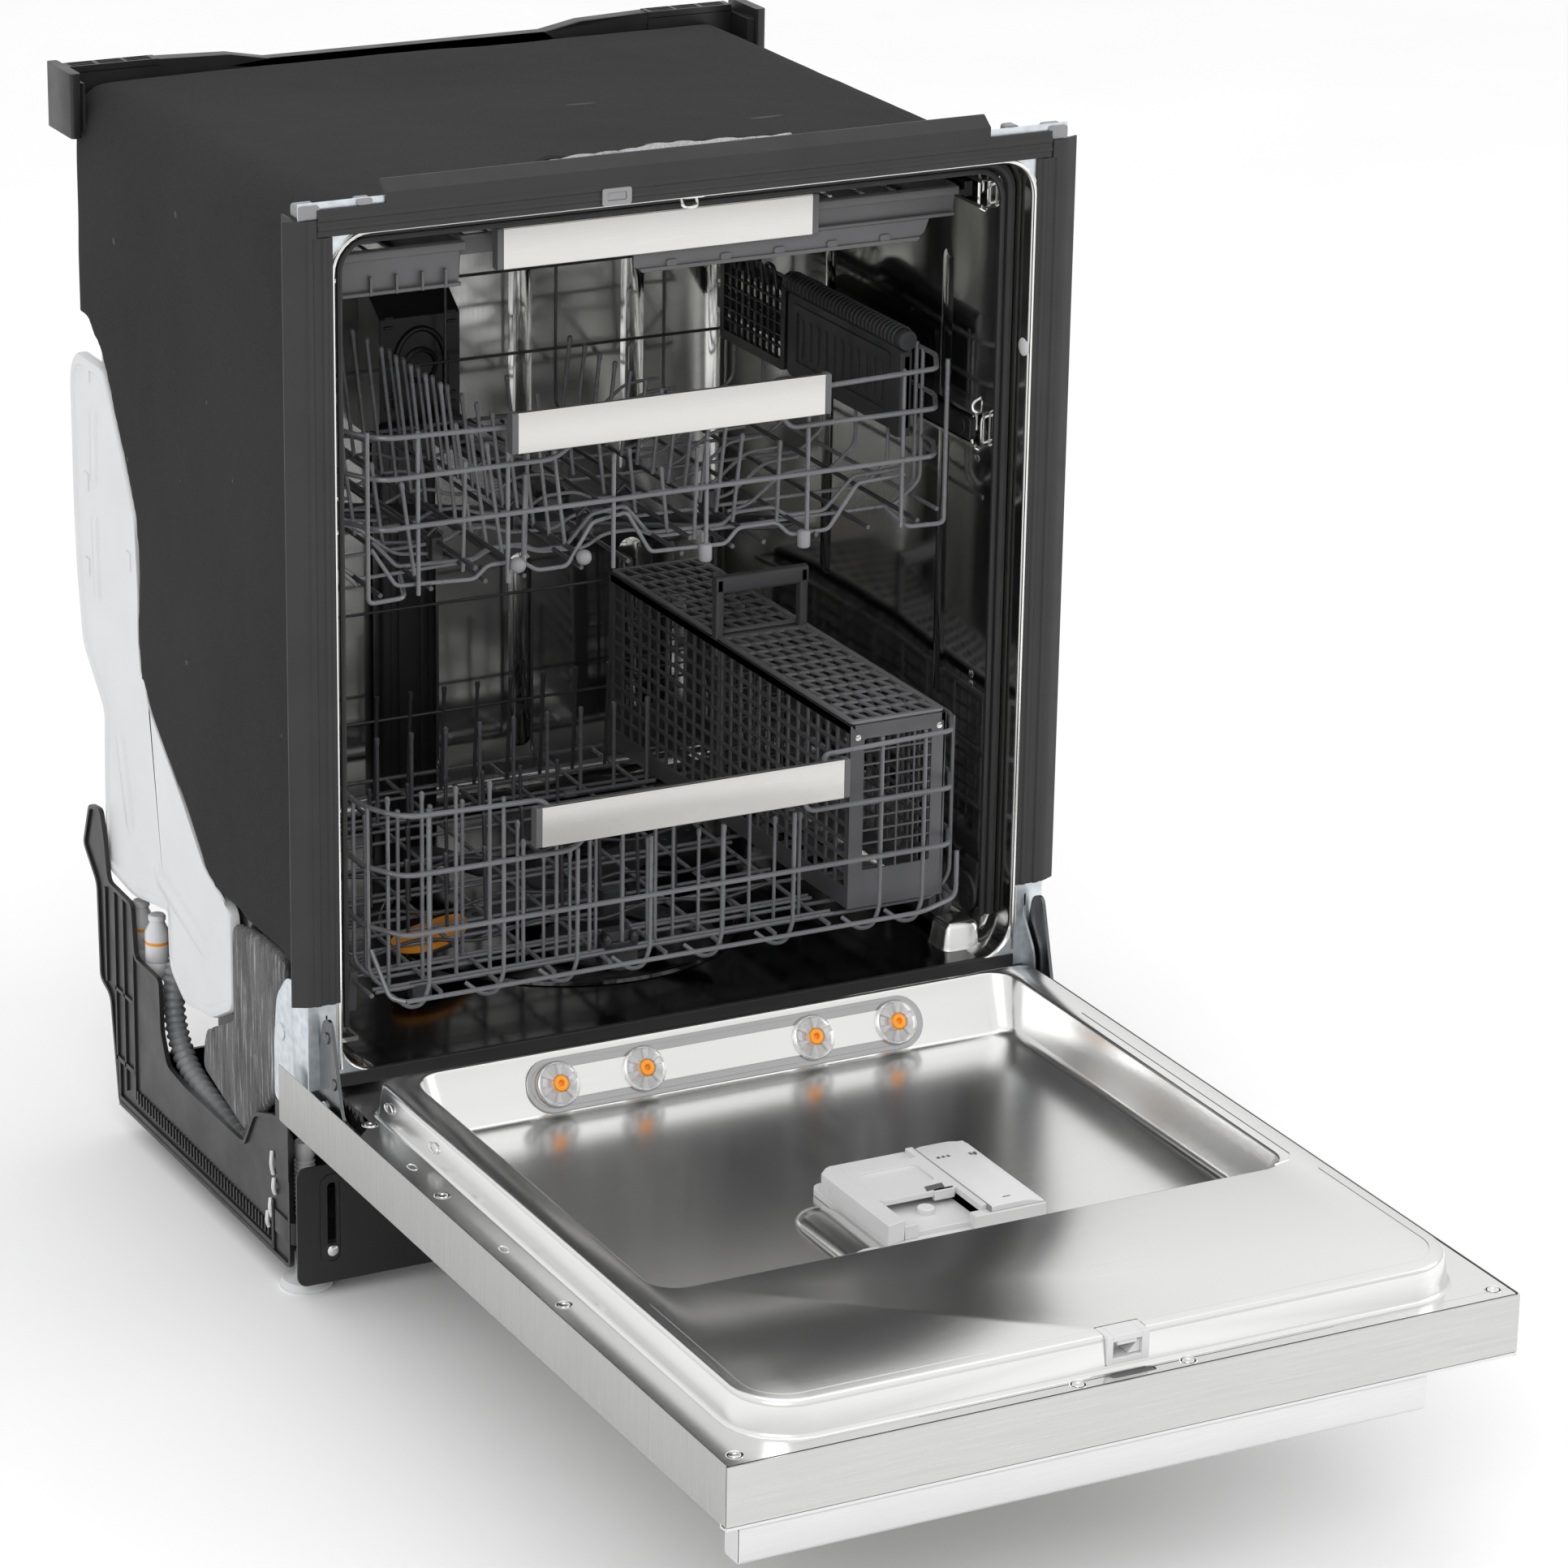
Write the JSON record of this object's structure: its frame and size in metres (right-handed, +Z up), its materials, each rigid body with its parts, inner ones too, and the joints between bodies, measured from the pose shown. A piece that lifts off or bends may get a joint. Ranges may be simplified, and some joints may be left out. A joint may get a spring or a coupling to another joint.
{
  "type": "built-in dishwasher",
  "caption": "Built-in dishwasher with drop-down steel door, pull-out wire racks, cutlery basket and tray, spray arms, levelling feet and felt-wrapped steel tub.",
  "frame": {"origin": "middle of the whole part's bounding box in plan, at floor level, with the door open", "axes": "+Z up, +Y to the back of the machine, +X to the right of somebody facing it; the door opens towards -Y"},
  "size_m": [0.6332, 1.1766, 0.872],
  "materials": {
    "polished_steel": "polished stainless steel",
    "brushed_door_steel": "stainless steel with a fine lengthways grain",
    "satin_liner_steel": "satin stainless steel",
    "handle_silver": "satin silver",
    "rack_handle_steel": "brushed stainless steel with a dark edge",
    "galvanised_steel": "galvanised, dull",
    "hinge_steel": "dark, slightly oiled",
    "felt": "matte charcoal bitumen felt",
    "fibre": "loose grey fibre, matte",
    "trim_grey": "dark grey, matte",
    "black_plastic": "black, satin",
    "grey_plastic": "mid grey, satin",
    "white_plastic": "translucent white, satin",
    "pale_plastic": "light grey, satin",
    "coated_wire": "grey nylon coating, satin",
    "basket_plastic": "dark grey, satin",
    "seal_rubber": "black, matte",
    "clear_plastic": "clear, gloss",
    "hose_plastic": "grey, satin"
  },
  "bodies": {
    "cabinet": {"tub": "polished_steel", "tub_gasket": "seal_rubber", "trim_left": "trim_grey", "trim_right": "trim_grey", "trim_top": "trim_grey", "latch_striker": "galvanised_steel", "sound_blanket": "felt", "water_guide_box": "white_plastic", "fibre_pad": "fibre", "base_pan": "black_plastic", "kick_panel": "black_plastic", "rear_top_rail": "black_plastic", "hinge_bracket_left": "galvanised_steel", "hinge_bracket_right": "galvanised_steel", "sump_pump": "black_plastic", "filter_cup": "grey_plastic", "drain_hose": "hose_plastic", "inlet_bottles": "white_plastic", "water_duct": "black_plastic", "rail_upper_left": "galvanised_steel", "rail_upper_right": "galvanised_steel", "rail_third_left": "galvanised_steel", "rail_third_right": "galvanised_steel"},
    "left_foot": {"foot_front_left": "pale_plastic"},
    "right_foot": {"foot_front_right": "pale_plastic"},
    "rear_foot": {"foot_rear": "pale_plastic"},
    "lower_arm": {"lower_spray_arm": "grey_plastic"},
    "door": {"door_outer_panel": "brushed_door_steel", "control_panel": "brushed_door_steel", "door_liner": "satin_liner_steel", "handle_bar": "handle_silver", "door_latch": "white_plastic", "hinge_arm_left": "hinge_steel", "hinge_arm_right": "hinge_steel", "steam_plate": "satin_liner_steel", "steam_nozzle_1": "clear_plastic", "steam_nozzle_2": "clear_plastic", "steam_nozzle_3": "clear_plastic", "steam_nozzle_4": "clear_plastic", "dispenser_body": "pale_plastic"},
    "detergent_slider": {"dispenser_lid": "pale_plastic"},
    "rinse_lid": {"rinse_aid_lid": "pale_plastic"},
    "lower_basket": {"lower_rack": "coated_wire", "lower_rack_handle": "rack_handle_steel", "cutlery_basket": "basket_plastic"},
    "wheel_l1": {"rack_wheel_left_1": "grey_plastic"},
    "wheel_l2": {"rack_wheel_left_2": "grey_plastic"},
    "wheel_r1": {"rack_wheel_right_1": "grey_plastic"},
    "wheel_r2": {"rack_wheel_right_2": "grey_plastic"},
    "tine_row": {"lower_tines": "coated_wire"},
    "lid_front": {"basket_lid_front": "basket_plastic"},
    "lid_rear": {"basket_lid_rear": "basket_plastic"},
    "upper_carriage": {"adjuster_left": "black_plastic", "adjuster_right": "black_plastic"},
    "upper_basket": {"upper_rack": "coated_wire", "upper_rack_handle": "rack_handle_steel"},
    "upper_arm": {"upper_spray_arm": "grey_plastic"},
    "shelf": {"cup_shelf": "black_plastic"},
    "third_basket": {"third_rack": "grey_plastic", "third_rack_handle": "rack_handle_steel"}
  },
  "joints": [
    {"name": "door_hinge", "type": "hinge", "parent": "cabinet", "child": "door", "pos_m": [0, 0.06435, 0.19], "axis": [1, 0, 0], "range_deg": [-90, 0]},
    {"name": "detergent_cover", "type": "slide", "parent": "door", "child": "detergent_slider", "axis": [0, -1, 0], "range_m": [0, 0.03]},
    {"name": "rinse_aid_cover", "type": "hinge", "parent": "door", "child": "rinse_lid", "pos_m": [0.086, -0.25915, 0.198], "axis": [0, 1, 0], "range_deg": [0, 95]},
    {"name": "left_foot_screw", "type": "slide", "parent": "cabinet", "child": "left_foot", "axis": [0, 0, -1], "range_m": [0, 0.03]},
    {"name": "right_foot_screw", "type": "slide", "parent": "cabinet", "child": "right_foot", "axis": [0, 0, -1], "range_m": [0, 0.03]},
    {"name": "rear_foot_screw", "type": "slide", "parent": "cabinet", "child": "rear_foot", "axis": [0, 0, -1], "range_m": [0, 0.03]},
    {"name": "lower_arm_spin", "type": "hinge", "parent": "cabinet", "child": "lower_arm", "pos_m": [0, 0.29635, 0.232], "axis": [0, 0, 1], "continuous": true},
    {"name": "lower_rack_run", "type": "slide", "parent": "cabinet", "child": "lower_basket", "axis": [0, -1, 0], "range_m": [0, 0.47]},
    {"name": "wheel_l1_spin", "type": "hinge", "parent": "lower_basket", "child": "wheel_l1", "pos_m": [-0.2546, 0.14435, 0.236], "axis": [1, 0, 0], "continuous": true},
    {"name": "wheel_l2_spin", "type": "hinge", "parent": "lower_basket", "child": "wheel_l2", "pos_m": [-0.2546, 0.46435, 0.236], "axis": [1, 0, 0], "continuous": true},
    {"name": "wheel_r1_spin", "type": "hinge", "parent": "lower_basket", "child": "wheel_r1", "pos_m": [0.2546, 0.14435, 0.236], "axis": [1, 0, 0], "continuous": true},
    {"name": "wheel_r2_spin", "type": "hinge", "parent": "lower_basket", "child": "wheel_r2", "pos_m": [0.2546, 0.46435, 0.236], "axis": [1, 0, 0], "continuous": true},
    {"name": "tine_fold", "type": "hinge", "parent": "lower_basket", "child": "tine_row", "pos_m": [-0.029, 0.41435, 0.2615], "axis": [1, 0, 0], "range_deg": [0, 80]},
    {"name": "front_lid_lift", "type": "hinge", "parent": "lower_basket", "child": "lid_front", "pos_m": [0.23, 0.21035, 0.4087], "axis": [0, 1, 0], "range_deg": [0, 100]},
    {"name": "rear_lid_lift", "type": "hinge", "parent": "lower_basket", "child": "lid_rear", "pos_m": [0.23, 0.42435, 0.4087], "axis": [0, 1, 0], "range_deg": [0, 100]},
    {"name": "upper_rack_run", "type": "slide", "parent": "cabinet", "child": "upper_carriage", "axis": [0, -1, 0], "range_m": [0, 0.4]},
    {"name": "upper_rack_lift", "type": "slide", "parent": "upper_carriage", "child": "upper_basket", "axis": [0, 0, 1], "range_m": [0, 0.045]},
    {"name": "upper_arm_spin", "type": "hinge", "parent": "upper_basket", "child": "upper_arm", "pos_m": [0, 0.31435, 0.53], "axis": [0, 0, 1], "continuous": true},
    {"name": "cup_shelf_fold", "type": "hinge", "parent": "upper_basket", "child": "shelf", "pos_m": [0.232, 0.32835, 0.602], "axis": [0, -1, 0], "range_deg": [0, 90]},
    {"name": "third_rack_run", "type": "slide", "parent": "cabinet", "child": "third_basket", "axis": [0, -1, 0], "range_m": [0, 0.4]}
  ],
  "couplings": [
    {"joint": "wheel_l1_spin", "follows": "lower_rack_run", "rad_per_m": 64.516},
    {"joint": "wheel_l2_spin", "follows": "lower_rack_run", "rad_per_m": 64.516},
    {"joint": "wheel_r1_spin", "follows": "lower_rack_run", "rad_per_m": 64.516},
    {"joint": "wheel_r2_spin", "follows": "lower_rack_run", "rad_per_m": 64.516}
  ]
}
